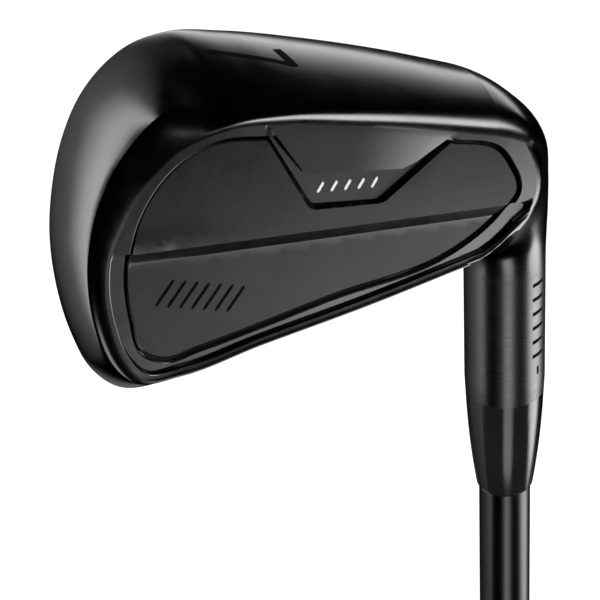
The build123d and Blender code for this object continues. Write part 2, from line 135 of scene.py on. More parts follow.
# ---- back, in the back plane's own x, v and depth ----
PLATE = [
    (8.4, 7.8), (19.4, 7.2), (56.7, 10.3), (67, 12.2), (74.3, 17.4), (77.9, 24.6), (77.9, 32.3),
    (75.3, 38.8), (72.2, 43.5), (67.4, 44.5), (62.0, 42.6), (37.7, 33.2), (13.4, 23.8), (9.2, 20.8),
    (5.0, 16.6), (3.0, 13.4), (3.5, 12.0), (5.6, 9.9),
]
STEP_HEEL = (0.0, 15.2)
STEP_TURN = math.radians(10.4)
STEP_COS, STEP_SIN = math.cos(STEP_TURN), math.sin(STEP_TURN)
STEP_LINE_POINTS = 40
STEP_DROP, STEP_WIDTH = 0.75, 1.25
STEP_CHAMFER_DROP, STEP_FILLET = 0.55, 0.55
STEP_FILLET_LINES = (0.33, 0.66, 1.0)
PLATE_STEP_ENDS = (1.2, 78.5)
# Towards the toe the step goes over into a soft slope: where, over what length, and how much wider.
SOFT_STEP_START, SOFT_STEP_LENGTH, SOFT_STEP_MARGIN = 62, 14, 0.6
PLATE_TOP = -0.12
PLATE_CHAMFER = 0.22
CHAMFER_STEEPNESS = 0.8
SOLE_CROWN = 0.0012
TOE_CROWN, TOE_CROWN_START, TOE_CROWN_FADE = 0.0002, 45, 4
POCKET_FLOOR = -2.3
PLATE_UNDERSIDE = POCKET_FLOOR + 0.25
INLAY_UNDERSIDE = POCKET_FLOOR + 0.2
# The groove is wider on the topline side and at the heel, and fades back past these x and widths.
GROOVE_WIDTH, GROOVE_EXTRA, HEEL_GROOVE_SHARE = 0.38, 0.4, 0.8
GROOVE_TOE, GROOVE_TOE_FADE, GROOVE_STEP_FADE = 76, 12, 4
GROOVE_HEEL, GROOVE_HEEL_FADE = 12, 6
FRAME_RISE, EDGE_ROUND_WIDTH, EDGE_ROUND_DROP = 0.03, 0.2, 0.12
SHELF_FLOOR = PLATE_TOP - STEP_DROP
SHELF_FILLET = 0.6
SHELF_FILLET_LINES = (0.17, 0.33, 0.5, 0.67, 0.83, 1.0)
SHELF_STEP_START, SHELF_STEP_WIDTH = -0.25, 0.35
SHELF_STEP_LINES = (-0.25, -0.07, 0.1)
SHELF_STEP_ENDS = (1.0, 83.0)
RAMP_START, RAMP_EASE, RAMP_FALL = 5.4, 3.0, 0.125
RAMP_MOUTH, RAMP_GAP = 0.3, 0.12
CHEVRON_SUNK, CHEVRON_GAP, CHEVRON_CORNER_R = 1.0, 0.04, 0.5
INLAY_TOP = PLATE_TOP - CHEVRON_SUNK
CHEVRON = [(17.9, 5.0), (31.2, 17.1), (32.4, 17.5), (44.6, 19.2), (45.4, 19.0), (58.9, 7.8)]
CHEVRON_EDGE = [(17.1, 5.0), (30.9, 17.6), (31.9, 18.0), (45.0, 20.1), (46.4, 19.8), (60.2, 7.8)]
INLAY_SLOPE = [(18.6, 5.0), (25.9, 10.9), (28.4, 12.3), (46.9, 14.9), (48.3, 14.6), (58.0, 8.0)]
# Outlines: samples for each span, and how near to a line a point counts as on it.
OUTLINE_DIVISIONS = 8
ON_RAMP, ON_CHEVRON, ON_BOUNDARY = 0.01, 0.005, 1e-3

# ---- face insert, in the face plane's own x and w ----
INSERT_RIM = [
    (5, 4.6), (30, 4.2), (60, 6.0), (70, 9.6), (77.4, 17), (80.5, 26), (80.9, 36), (78.2, 46),
    (73.2, 53.2), (68.5, 55.6), (63.5, 54.4),
]
INSERT_HEEL = [(10.1, 28.3), (10.1, 4.5)]
INSERT_FLOOR = -2.1

# ---- marks: strokes on the plate and the inlay, a plain seven on the sole, dashes on the hosel ----
STROKE_ENDS = [(0, 0.3), (0.12, 0.5), (0.88, 0.5), (1, 0.3)]
STROKE_BEVEL = 0.08
STROKE_ROOT = 0.05
# Each bar of the seven: start, end (x, y) and width.
SEVEN = [((49.5, -5.0), (48.5, -9.6), 1.7), ((48.6, -9.2), (62.4, -6.4), 1.0)]
SEVEN_ALONG, SEVEN_ACROSS = 24, 5
SEVEN_LIFT = 0.03
BELOW_SOLE = -20.0
HOSEL_MARK_AZIMUTH = -69.0
HOSEL_MARK_T = (38.0, 40.9, 43.8, 46.7, 49.6, 52.5)
HOSEL_MARK_SIZE = (2.7, 0.7)
HOSEL_DASH_T = 55.8
HOSEL_DASH_SIZE = (0.5, 1.6)
HOSEL_MARK_ROUND, HOSEL_MARK_DOWN = 9, 3
HOSEL_MARK_LIFT = 0.02

# ---- meshes: spacing of the inner points, and the angles from which an edge is sharp ----
BACK_SPACING, FACE_SPACING, PLATE_SPACING, INLAY_SPACING = 2.0, 4.0, 1.2, 1.5
SHARP_ANGLE, HEAD_SHARP_ANGLE, FLAT_SHARP_ANGLE = 30.0, 38.0, 9.0
MERGE_DISTANCE, DISSOLVE_DISTANCE = 2e-7, 1e-8


# ---- geometry helpers ----
def unit(v):
    v = np.asarray(v, float)
    return v / np.linalg.norm(v, axis=-1, keepdims=True)


FACE_O = np.array([0.0, 4.4, 0.2])
FACE_X = np.array([1.0, 0.0, 0.0])
FACE_Y = np.array([0.0, -math.sin(LOFT), math.cos(LOFT)])
FACE_N = np.cross(FACE_Y, FACE_X)
BACK_O = np.array([0.0, -13.0, 0.2])
BACK_X = np.array([math.cos(BACK_TURN), -math.sin(BACK_TURN), 0.0])
BACK_N = unit(np.cross(BACK_X, [0.0, -math.sin(BACK_LEAN), math.cos(BACK_LEAN)]))
BACK_Y = np.cross(BACK_N, BACK_X)
BACK_AXES = np.stack([BACK_X, BACK_Y])


def face_point(x, w):
    return FACE_O + np.multiply.outer(x, FACE_X) + np.multiply.outer(w, FACE_Y)


def back_point(x, v, depth=0.0):
    x, v, depth = np.broadcast_arrays(x, v, depth)
    return BACK_O + x[..., None] * BACK_X + v[..., None] * BACK_Y + depth[..., None] * BACK_N


def in_plane(points, origin, across, up):
    """Flat places of points in a plane's own two directions."""
    return np.stack([(points - origin) @ across, (points - origin) @ up], axis=1)


def to_row(points):
    """Head frame millimetres to row frame metres."""
    p = np.asarray(points, float)
    x = -SIN_LIE * p[..., 0] - COS_LIE * p[..., 2]
    z = CLUB_LENGTH + COS_LIE * p[..., 0] - SIN_LIE * p[..., 2]
    return np.stack([x, p[..., 1], z], axis=-1) * MM


def spline(points, divisions):
    """Smooth open curve through the points, with the same number of samples in each span."""
    p = np.array(points, float)
    step = np.linalg.norm(np.diff(p, axis=0), axis=1)[:, None]
    slope = np.diff(p, axis=0) / step
    tangent = np.empty_like(p)
    tangent[0], tangent[-1] = slope[0], slope[-1]
    tangent[1:-1] = (slope[:-1] * step[1:] + slope[1:] * step[:-1]) / (step[1:] + step[:-1])
    u = (np.arange(divisions) / divisions)[None, :, None]
    start, end = p[:-1, None], p[1:, None]
    leave, arrive = tangent[:-1, None] * step[:, None], tangent[1:, None] * step[:, None]
    samples = start * (2 * u**3 - 3 * u**2 + 1) + leave * (u**3 - 2 * u**2 + u)
    samples = samples + end * (3 * u**2 - 2 * u**3) + arrive * (u**3 - u**2)
    return np.concatenate([samples.reshape(-1, p.shape[1]), p[-1:]])


def closed_spline(points, divisions):
    """Smooth closed curve through the points."""
    count = len(points)
    wrapped = [points[i % count] for i in range(-2, count + 3)]
    curve = spline(wrapped, divisions)
    return curve[2 * divisions:(2 + count) * divisions]


def bezier(controls, t):
    """Bezier curve from its control points, at shares of the way from nought to one."""
    t = t[:, None]
    p = [np.asarray(c, float) for c in controls]
    while len(p) > 1:
        p = [a + (b - a) * t for a, b in zip(p[:-1], p[1:])]
    return p[0]


def lengths(line):
    """Length of a line up to each of its points."""
    return np.concatenate([[0], np.cumsum(np.linalg.norm(np.diff(line, axis=0), axis=1))])


def trimmed(line, start, end, count):
    """Points spaced evenly along a line, leaving out a length at either end."""
    length = lengths(line)
    at = np.linspace(start, length[-1] - end, count)
    return np.stack([np.interp(at, length, line[:, i]) for i in range(line.shape[1])], axis=1)


def inside(points, outline):
    """Which points lie inside a closed outline."""
    x, y = points[:, 0][:, None], points[:, 1][:, None]
    ax, ay = outline[:, 0], outline[:, 1]
    bx, by = np.roll(ax, -1), np.roll(ay, -1)
    spans = (ay > y) != (by > y)
    cut = ax + (y - ay) * (bx - ax) / np.where(by == ay, 1e-12, by - ay)
    return (spans & (x < cut)).sum(axis=1) % 2 == 1


def distance(points, outline, closed=True):
    """Distance from each point to an outline."""
    a = outline if closed else outline[:-1]
    b = np.roll(outline, -1, axis=0) if closed else outline[1:]
    run = b - a
    away = points[:, None] - a
    share = np.clip((away * run).sum(-1) / (run * run).sum(-1), 0, 1)
    return np.linalg.norm(away - share[..., None] * run, axis=-1).min(axis=1)


def signed(points, outline):
    """Distance to a closed outline, positive outside."""
    away = distance(points, outline)
    return np.where(inside(points, outline), -away, away)


def grown(outline, margin):
    """Closed outline moved outwards by a margin, or by one margin for each point."""
    run = unit(np.roll(outline, -1, axis=0) - np.roll(outline, 1, axis=0))
    return outline + np.stack([run[:, 1], -run[:, 0]], axis=1) * np.reshape(margin, (-1, 1))


# ---- mesh helpers ----
def add_object(name, data):
    item = bpy.data.objects.new(name, data)
    bpy.context.scene.collection.objects.link(item)
    return item


def make_mesh(name, points, faces, sharp_angle=SHARP_ANGLE, flat_from=None, flat_angle=FLAT_SHARP_ANGLE):
    """Object from row frame metres, with doubles merged and sharp edges by angle.

    Faces from flat_from on belong to flat parts, which have a sharp angle of their own.
    """
    mesh = bpy.data.meshes.new(name)
    mesh.from_pydata([tuple(p) for p in points], [], faces)
    work = bmesh.new()
    work.from_mesh(mesh)
    work.faces.ensure_lookup_table()
    for face in work.faces[flat_from:] if flat_from is not None else []:
        face.material_index = 1
    bmesh.ops.remove_doubles(work, verts=work.verts, dist=MERGE_DISTANCE)
    bmesh.ops.dissolve_degenerate(work, edges=work.edges, dist=DISSOLVE_DISTANCE)
    bmesh.ops.recalc_face_normals(work, faces=work.faces)
    for edge in work.edges:
        if len(edge.link_faces) != 2:
            continue
        both_flat = all(face.material_index == 1 for face in edge.link_faces)
        limit = flat_angle if both_flat else sharp_angle
        edge.smooth = edge.calc_face_angle() < math.radians(limit)
    for face in work.faces:
        face.smooth = True
        face.material_index = 0
    work.to_mesh(mesh)
    work.free()
    return add_object(name, mesh)


def grid_faces(rows, columns, close=False):
    """Quads between the rows of a grid of points."""
    faces = []
    last = columns if close else columns - 1
    for r in range(rows - 1):
        for c in range(last):
            d = (c + 1) % columns
            faces.append((r * columns + c, r * columns + d, (r + 1) * columns + d, (r + 1) * columns + c))
    return faces


def shifted(faces, count):
    """Faces whose points stand further on in a list."""
    return [tuple(i + count for i in face) for face in faces]


def thick(faces, count):
    """Faces, their copies further on in the list, and walls between the two along the open edges."""
    sides = {}
    for face in faces:
        for edge in zip(face, face[1:] + face[:1]):
            sides.setdefault(tuple(sorted(edge)), []).append(edge)
    walls = [(a, b, b + count, a + count) for (a, b), *more in sides.values() if not more]
    return shifted(faces, 0) + shifted([face[::-1] for face in faces], count) + walls


def triangulated(boundary, lines, spacing):
    """Triangles inside a flat boundary that follow the given closed or open lines."""
    points = list(map(tuple, boundary))
    count = len(points)
    edges = [(i, (i + 1) % count) for i in range(count)]
    for line, closed in lines:
        first = len(points)
        points += list(map(tuple, line))
        span = len(line)
        edges += [(first + i, first + (i + 1) % span) for i in range(span if closed else span - 1)]
    ends = zip(boundary.min(axis=0), boundary.max(axis=0))
    rulers = [np.arange(low + spacing / 2, high, spacing) for low, high in ends]
    inner = np.stack(np.meshgrid(*rulers), axis=-1).reshape(-1, 2)
    keep = inside(inner, boundary) & (distance(inner, boundary) > spacing / 3)
    for line, closed in lines:
        keep &= distance(inner, line, closed) > spacing / 3
    points += list(map(tuple, inner[keep]))
    found = delaunay_2d_cdt([Vector(p) for p in points], edges, [], 0, 1e-6)
    flat = np.array([tuple(p) for p in found[0]])
    faces = [f for f in found[2] if len(f) == 3]
    middles = flat[np.array(faces)].mean(axis=1)
    picked = inside(middles, boundary)
    return flat, [f for f, ok in zip(faces, picked) if ok]


def relief(flat, faces, height, floor_mask, floor_height):
    """Points and faces of a surface with some faces at a floor height and walls round them."""
    top = np.column_stack([flat, height(flat)])
    floor = np.column_stack([flat, floor_height(flat)])
    count = len(flat)
    points = np.concatenate([top, floor])
    out = []
    edge_side = {}
    for face, low in zip(faces, floor_mask):
        out.append(tuple(i + count for i in face) if low else tuple(face))
        for edge in zip(face, face[1:] + face[:1]):
            edge_side.setdefault(tuple(sorted(edge)), []).append(low)
    for (a, b), sides in edge_side.items():
        if len(sides) == 2 and sides[0] != sides[1]:
            out.append((a, b, b + count, a + count))
    return points, out


# ---- head: rim, heel and hosel ----
def outline_turn(curve):
    """Outward direction in a plane at each sample of a curve that runs heel, sole, toe, topline."""
    run = unit(np.gradient(curve, axis=0))
    return np.stack([run[:, 1], -run[:, 0]], axis=1)


def roll(before, corner, after, count):
    """Rounded corner between two points."""
    return bezier([before, corner, after], np.linspace(0, 1, count))


def rim_profiles():
    """Points of the rim's surface: one row for each place round the rim, from face to back."""
    table = np.array(RIM)
    face_edge = spline(table[:, 0:2], RIM_DIVISIONS)
    crease = spline(table[:, 2:5], RIM_DIVISIONS)
    lip = spline(table[:, 5:7], RIM_DIVISIONS)
    at = np.linspace(0, len(table) - 1, len(face_edge))
    numbers = [np.interp(at, np.arange(len(table)), table[:, i]) for i in range(7, 12)]
    face_out, lip_out = outline_turn(face_edge), outline_turn(lip)
    rows = []
    for i, (sharp, bulge, face_roll, crease_roll, lip_roll) in enumerate(zip(*numbers)):
        start = face_point(*face_edge[i])
        middle = back_point(*crease[i])
        end = back_point(*lip[i])
        out = unit([face_out[i, 0], 0, face_out[i, 1]])
        start = start + ROLL_GAIN * face_roll * out
        t = np.linspace(0, 1, PROFILE_SAMPLES)
        sole = [start, start + SOLE_LEAVE, end + SOLE_ARRIVE, end]
        toe_front = bezier([start, (start + middle) / 2 + 2 * bulge * out, middle], t)
        toe_rear = bezier([middle, (middle + end) / 2 + 2 * REAR_BULGE * unit(out + BACK_N), end], t)
        front = bezier(sole, t * SOLE_SPLIT) * (1 - sharp) + toe_front * sharp
        rear = bezier(sole, SOLE_SPLIT + t * (1 - SOLE_SPLIT)) * (1 - sharp) + toe_rear * sharp
        front_kept = trimmed(front, face_roll, crease_roll, FRONT_POINTS)
        rear_kept = trimmed(rear, crease_roll, lip_roll, REAR_POINTS)
        face_in = -(face_out[i, 0] * FACE_X + face_out[i, 1] * FACE_Y)
        back_in = -(lip_out[i, 0] * BACK_X + lip_out[i, 1] * BACK_Y)
        first = roll(start + face_in * face_roll, front[0], front_kept[0], FACE_ROLL_POINTS)
        crest = roll(front_kept[-1], front[-1], rear_kept[0], CREST_POINTS)
        last = roll(rear_kept[-1], end, end + back_in * lip_roll, LIP_ROLL_POINTS)
        rows.append(np.concatenate([first[:-1], front_kept, crest[1:-1], rear_kept, last[1:]]))
    return np.array(rows)


def smoothstep(value):
    value = np.clip(value, 0, 1)
    return value * value * (3 - 2 * value)


def hosel_row(t):
    """Heel section at a place on the round hosel."""
    return (
        -t * COS_LIE - HOSEL_R * SIN_LIE, t * SIN_LIE - HOSEL_R * COS_LIE,
        -t * COS_LIE + HOSEL_R * SIN_LIE, t * SIN_LIE + HOSEL_R * COS_LIE, 1.0,
    )


def heel_loops(rim):
    """Closed loops from the blade's section to the round hosel, and each point's angle round it."""
    bottom_strip, top_strip = rim[0], rim[-1]
    between = np.linspace(0, 1, LINE_POINTS + 2)[1:-1, None]
    back_line = bottom_strip[-1] + (top_strip[-1] - bottom_strip[-1]) * between
    face_line = top_strip[0] + (bottom_strip[0] - top_strip[0]) * between
    loop = np.concatenate([bottom_strip, back_line, top_strip[::-1], face_line])
    turns = []
    for strip in (bottom_strip, top_strip[::-1]):
        run = lengths(strip)
        turns += [90 * run / run[-1], 90 * between[:, 0]]
    angle = np.radians(np.concatenate([-45.0 - 90 * quarter - turn for quarter, turn in enumerate(turns)]))
    bottom_z, top_z = HEEL_SECTIONS[0][1], HEEL_SECTIONS[0][3]
    share = (loop[:, 2] - bottom_z) / (top_z - bottom_z)
    face_y = FACE_O[1] - math.tan(LOFT) * (loop[:, 2] - FACE_O[2])
    back_y = back_surface_y(loop[:, 0], loop[:, 2])
    backness = np.clip((face_y - loop[:, 1]) / (face_y - back_y), 0, 1)
    flat_part = smoothstep((backness - FLAT_FROM) / (1 - FLAT_FROM))
    sections = [BLADE_SECTION, *HEEL_SECTIONS, *map(hosel_row, ROUND_T)]
    stations = spline(sections, HEEL_DIVISIONS)[HEEL_DIVISIONS:]
    stations[-HEEL_DIVISIONS:, 4] = 1.0
    circle_share = (1 + np.sin(angle)) / 2
    on_back = back_range(len(bottom_strip))
    line = np.linspace(0, 1, LINE_POINTS + 2)
    strip_run = np.linspace(0, 1, len(top_strip))[1:]
    top_range = np.arange(on_back[-1] + 1, on_back[-1] + len(top_strip))
    loops = []
    for j, (bx, bz, tx, tz, roundness) in enumerate(stations):
        x = bx + (tx - bx) * share
        z = bz + (tz - bz) * share
        follow = 1 - smoothstep(roundness / FOLLOW_UNTIL)
        face_shift = -math.tan(LOFT) * (z - loop[:, 2])
        back_shift = back_surface_y(x, z) - back_y
        y = loop[:, 1] + follow * (face_shift * (1 - backness) + back_shift * backness)
        past = j - FLAT_STATIONS
        hold = 1 - smoothstep(past / FLAT_FADE)
        k = np.clip(roundness, 0, 1) * (1 - flat_part * hold)
        sx = bx + (tx - bx) * circle_share
        sz = bz + (tz - bz) * circle_share
        sy = HOSEL_R * np.cos(angle)
        points = np.stack([x + (sx - x) * k, y + (sy - y) * k, z + (sz - z) * k], axis=1)
        if 0 < j <= FLAT_STATIONS:
            lip = (points[on_back[-1]] - BACK_O) @ BACK_AXES.T
            corner = np.array(FLAT_CORNER[j - 1]) - lip
        bow = FLAT_BOW * min(j / FLAT_STATIONS, 1.0) * (1 - smoothstep(past / BOW_FADE))
        fade = 1 - smoothstep(past / CORNER_FADE)
        move = np.multiply.outer(line, corner * fade if j else np.zeros(2))
        move[:, 0] -= bow * 4 * line * (1 - line)
        points[on_back] += move @ BACK_AXES
        eased = (1 - smoothstep(strip_run / TOPLINE_BLEND))[:, None] * move[-1]
        points[top_range] += eased @ BACK_AXES
        loops.append(points)
    loops = eased_start(np.array(loops), rim)
    for points in loops[:FLAT_STATIONS + 1]:
        points[on_back, 1] = back_surface_y(points[on_back, 0], points[on_back, 2])
    loops[1:INSERT_COVER, -LINE_POINTS:] += FACE_N * INSERT_COVER_LIFT
    return loops, angle


def eased_start(loops, rim):
    """Heel loops whose sole and topline leave the blade in the blade's own direction."""
    strip = rim.shape[1]
    sole = slice(0, strip)
    topline = slice(-LINE_POINTS - 1, -LINE_POINTS - strip - 1, -1)
    for near, after, places in ((0, 1, sole), (-1, -2, topline)):
        blade_run = rim[near] - rim[after]
        blade_run = blade_run / np.abs(blade_run[:, :1])
        heel_run = loops[1, places] - loops[0, places]
        heel_run = heel_run / np.abs(heel_run[:, :1])
        for points in loops[1:]:
            gone = (rim[near][:, 0] - points[places, 0])[:, None]
            points[places] += (blade_run - heel_run) * gone * np.clip(1 - gone / HEEL_EASE, 0, 1) ** 2
    return loops


def back_surface_y(x, z):
    """The back plane's y at a place in x and z."""
    return BACK_O[1] - (BACK_N[0] * (x - BACK_O[0]) + BACK_N[2] * (z - BACK_O[2])) / BACK_N[1]


def back_range(strip):
    """Places of the back line and its two ends in a loop."""
    return np.arange(strip - 1, strip + LINE_POINTS + 1)


def hosel_loops(angle):
    """Loops round the shaft axis from the heel to the hosel's end and down its bore."""
    turned_t, bore_t = HOSEL_END_T - HOSEL_TURNED, HOSEL_END_T - BORE_DEPTH
    rows = [(HOSEL_R, t) for t in HOSEL_LOOPS_T]
    rows += [(HOSEL_R, turned_t - TURNED_LEAD), (HOSEL_R - TURNED_DROP, turned_t)]
    rows += [(HOSEL_END_R, HOSEL_END_T), (BORE_R, HOSEL_END_T), (BORE_R, bore_t), (BORE_END_R, bore_t)]
    ring = np.stack([np.sin(angle) * SIN_LIE, np.cos(angle), np.sin(angle) * COS_LIE], axis=1)
    return np.array([radius * ring + [-t * COS_LIE, 0, t * SIN_LIE] for radius, t in rows])


def step_side(points):
    """Distance from the step towards the topline."""
    return (points[:, 1] - STEP_HEEL[1]) * STEP_COS - (points[:, 0] - STEP_HEEL[0]) * STEP_SIN


def step_along(points):
    """Distance along the step towards the toe."""
    return (points[:, 0] - STEP_HEEL[0]) * STEP_COS + (points[:, 1] - STEP_HEEL[1]) * STEP_SIN


def step_line(side, start, end):
    """Line parallel to the step."""
    along = np.linspace(start, end, STEP_LINE_POINTS)
    x = STEP_HEEL[0] + along * STEP_COS - side * STEP_SIN
    v = STEP_HEEL[1] + along * STEP_SIN + side * STEP_COS
    return np.stack([x, v], axis=1)


PLATE_EDGE = closed_spline(PLATE, OUTLINE_DIVISIONS)
PAST_STEP = smoothstep((step_side(PLATE_EDGE) + GROOVE_STEP_FADE / 2) / GROOVE_STEP_FADE)
TOPLINE_SIDE = PAST_STEP * smoothstep((GROOVE_TOE - PLATE_EDGE[:, 0]) / GROOVE_TOE_FADE)
HEEL_SIDE = smoothstep((GROOVE_HEEL - PLATE_EDGE[:, 0]) / GROOVE_HEEL_FADE)
GROOVE = GROOVE_WIDTH + GROOVE_EXTRA * np.maximum(TOPLINE_SIDE, HEEL_GROOVE_SHARE * HEEL_SIDE)
GROOVE_EDGE = grown(PLATE_EDGE, GROOVE)
RAMP_LOOP = np.array(INLAY_SLOPE, float)


def frame_depth(points, lip_loop):
    """Depth of the frame: a slope on the sole side with the ramp in it, a shelf on the topline side."""
    to_groove = np.maximum(signed(points, GROOVE_EDGE), 0)
    to_lip = np.maximum(-signed(points, lip_loop), 0)
    slope = FRAME_RISE * to_lip / np.maximum(to_groove + to_lip, 1e-6)
    past_step = smoothstep((step_side(points) - SHELF_STEP_START) / SHELF_STEP_WIDTH)
    sunk = smoothstep(to_lip / SHELF_FILLET) * past_step
    depth = slope * (1 - sunk) + SHELF_FLOOR * sunk
    round_off = EDGE_ROUND_DROP * np.clip(1 - to_groove / EDGE_ROUND_WIDTH, 0, 1)
    down = np.maximum(points[:, 1] - RAMP_START, 0)
    ramp = slope - RAMP_FALL * down * down / (down + RAMP_EASE)
    to_ramp = signed(points, RAMP_LOOP)
    return np.where(to_ramp < ON_RAMP, ramp, depth - round_off * (to_ramp >= RAMP_MOUTH))


def head_mesh():
    """The head's visible skin, with a pocket for the plate and one for the face insert."""
    rim = rim_profiles()
    strip = rim.shape[1]
    loops, angle = heel_loops(rim)
    tube = hosel_loops(angle)
    rings = np.concatenate([loops, tube])
    per = rings.shape[1]
    points = [rim.reshape(-1, 3), rings.reshape(-1, 3)]
    faces = grid_faces(len(rim), strip)
    offset = rim.shape[0] * strip
    on_back = set(back_range(strip)[:-1].tolist())
    quads = enumerate(grid_faces(len(rings), per, True))
    faces += shifted([q for i, q in quads if i // per >= FLAT_STATIONS or i % per not in on_back], offset)
    faces += shifted([range(per)], offset + (len(rings) - 1) * per)
    count = offset + len(rings) * per

    heel_bottom = loops[1:FLAT_STATIONS + 1, strip - 1]
    heel_top = loops[1:FLAT_STATIONS + 1, strip + LINE_POINTS]
    closing = loops[FLAT_STATIONS, strip:strip + LINE_POINTS]
    boundary = np.concatenate([rim[:, -1], heel_top, closing[::-1], heel_bottom[::-1]])
    flat = in_plane(boundary, BACK_O, BACK_X, BACK_Y)
    lines = [(GROOVE_EDGE, True), (grown(GROOVE_EDGE, EDGE_ROUND_WIDTH), True), (RAMP_LOOP, True)]
    lines += [(step_line(side, *SHELF_STEP_ENDS), False) for side in SHELF_STEP_LINES]
    lines += [(grown(flat, -SHELF_FILLET * share), True) for share in SHELF_FILLET_LINES]
    back_flat, triangles = triangulated(flat, lines, BACK_SPACING)
    middles = back_flat[np.array(triangles)].mean(axis=1)
    in_pocket = inside(middles, GROOVE_EDGE) & ~inside(middles, RAMP_LOOP)
    relief_points, relief_faces = relief(
        back_flat, triangles, lambda p: edge_zero(frame_depth(p, flat), p, flat), in_pocket,
        level(POCKET_FLOOR),
    )
    points.append(back_point(*relief_points.T))
    flat_from = len(faces)
    faces += shifted(relief_faces, count)
    count += len(relief_points)

    face_edge = np.concatenate([rim[:, 0], loops[0, -LINE_POINTS:]])
    face_flat = in_plane(face_edge, FACE_O, FACE_X, FACE_Y)
    insert = insert_outline()
    front_flat, triangles = triangulated(face_flat, [(insert, True)], FACE_SPACING)
    in_insert = inside(front_flat[np.array(triangles)].mean(axis=1), insert)
    face_points, face_faces = relief(front_flat, triangles, level(0), in_insert, level(INSERT_FLOOR))
    points.append(face_point(*face_points[:, :2].T) + np.multiply.outer(face_points[:, 2], FACE_N))
    faces += shifted(face_faces, count)
    return make_mesh("head_shell", to_row(np.concatenate(points)), faces, HEAD_SHARP_ANGLE, flat_from)


def level(depth):
    """Height function of a flat at a depth."""
    return lambda points: np.full(len(points), float(depth))


def edge_zero(depth, points, boundary):
    """Depth that is nought on a boundary."""
    return np.where(distance(points, boundary) < ON_BOUNDARY, 0.0, depth)


def insert_outline():
    """Outline of the pocket for the face insert."""
    return np.concatenate([spline(INSERT_RIM, OUTLINE_DIVISIONS), INSERT_HEEL])


# ---- plate, inlay and marks ----
def solid(name, boundary, lines, spacing, keep, top, bottom, sharp_angle=SHARP_ANGLE):
    """Closed piece in the back plane: a carved top, straight walls and a flat underside."""
    flat, faces = triangulated(boundary, lines, spacing)
    kept = [f for f, ok in zip(faces, keep(flat[np.array(faces)].mean(axis=1))) if ok]
    points = np.concatenate([back_point(*flat.T, top(flat)), back_point(*flat.T, bottom)])
    return make_mesh(name, to_row(points), thick(kept, len(flat)), sharp_angle, 0, sharp_angle)


def plate_top(points):
    """Depth of the plate's top: crowned on the sole half, a step down to the topline half, and bevels."""
    side = step_side(points)
    drop = STEP_CHAMFER_DROP * np.clip(side / STEP_WIDTH, 0, 1)
    fillet = np.sin(np.clip((side - STEP_WIDTH) / STEP_FILLET, 0, 1) * math.pi / 2)
    drop = drop + (STEP_DROP - STEP_CHAMFER_DROP) * fillet
    soft = smoothstep((side + SOFT_STEP_MARGIN) / (STEP_WIDTH + 2 * SOFT_STEP_MARGIN)) * STEP_DROP
    toe_share = smoothstep((step_along(points) - SOFT_STEP_START) / SOFT_STEP_LENGTH)
    depth = PLATE_TOP - drop * (1 - toe_share) - soft * toe_share
    past = np.maximum(points[:, 0] - TOE_CROWN_START, 0)
    toe_fall = TOE_CROWN * past ** 2 * smoothstep(-side / TOE_CROWN_FADE)
    depth = depth - SOLE_CROWN * np.minimum(side, 0) ** 2 - toe_fall
    foot, top = distance(points, CHEVRON_LOOP), distance(points, CHEVRON_TOP)
    above = signed(points, CHEVRON_TOP) < ON_CHEVRON
    bevel = CHEVRON_SUNK * top / (foot + top)
    edge = np.clip(1 + signed(points, PLATE_EDGE) / PLATE_CHAMFER, 0, 1)
    return depth - bevel * above - CHAMFER_STEEPNESS * PLATE_CHAMFER * edge


def chevron_loop(points, margin=0.0):
    """Chevron's outline closed across the sole side, with rounded corners."""
    return grown(rounded(np.array(points, float), CHEVRON_CORNER_R), margin)


def rounded(corners, radius, steps=5):
    """Closed outline with its corners rounded, except the first and the last."""
    out = [corners[0]]
    for before, corner, after in zip(corners[:-2], corners[1:-1], corners[2:]):
        a, b = unit(before - corner), unit(after - corner)
        out += list(bezier([corner + a * radius, corner, corner + b * radius], np.linspace(0, 1, steps)))
    out.append(corners[-1])
    return np.array(out)


def muscle_plate():
    """The plate with its step, cut out for the inlay."""
    sides = [0, STEP_WIDTH] + [STEP_WIDTH + STEP_FILLET * share for share in STEP_FILLET_LINES]
    lines = [(CHEVRON_LOOP, True)] + [(step_line(side, *PLATE_STEP_ENDS), False) for side in sides]
    lines += [(grown(PLATE_EDGE, -PLATE_CHAMFER), True), (CHEVRON_TOP, True)]
    return solid(
        "muscle_plate_skin", PLATE_EDGE, lines, PLATE_SPACING,
        lambda middles: ~inside(middles, CHEVRON_LOOP), plate_top, PLATE_UNDERSIDE, FLAT_SHARP_ANGLE,
    )


def inlay():
    """The flat inlay in the plate's opening, cut out for the head's ramp."""
    ramp = chevron_loop(INLAY_SLOPE, RAMP_GAP)
    return solid(
        "chevron_inlay_skin", chevron_loop(CHEVRON, -CHEVRON_GAP), [(ramp, True)], INLAY_SPACING,
        lambda middles: ~inside(middles, ramp) & inside(middles, PLATE_EDGE),
        level(INLAY_TOP), INLAY_UNDERSIDE,
    )


def bar(start, length, width, slant, low, high):
    """Slanted stroke with eased ends and edges in the back plane."""
    run = np.array([math.cos(math.radians(slant)), math.sin(math.radians(slant))])
    side = np.array([-run[1], run[0]])
    ring = [start + run * length * a + side * width * s for a, s in STROKE_ENDS]
    ring += [start + run * length * a - side * width * s for a, s in STROKE_ENDS[::-1]]
    ring = np.array(ring)
    inner = ring + (ring.mean(axis=0) - ring) * STROKE_BEVEL
    levels = [(ring, low), (ring, (low + high) / 2), (inner, high)]
    points = np.concatenate([back_point(*r.T, d) for r, d in levels])
    count = len(ring)
    faces = grid_faces(len(levels), count, True)
    faces.append(tuple(range(count))[::-1])
    faces += shifted([range(count)], (len(levels) - 1) * count)
    return points, faces


def joined(parts):
    """One list of points and faces from several."""
    points, faces, count = [], [], 0
    for p, f in parts:
        points.append(p)
        faces += shifted(f, count)
        count += len(p)
    return np.concatenate(points), faces


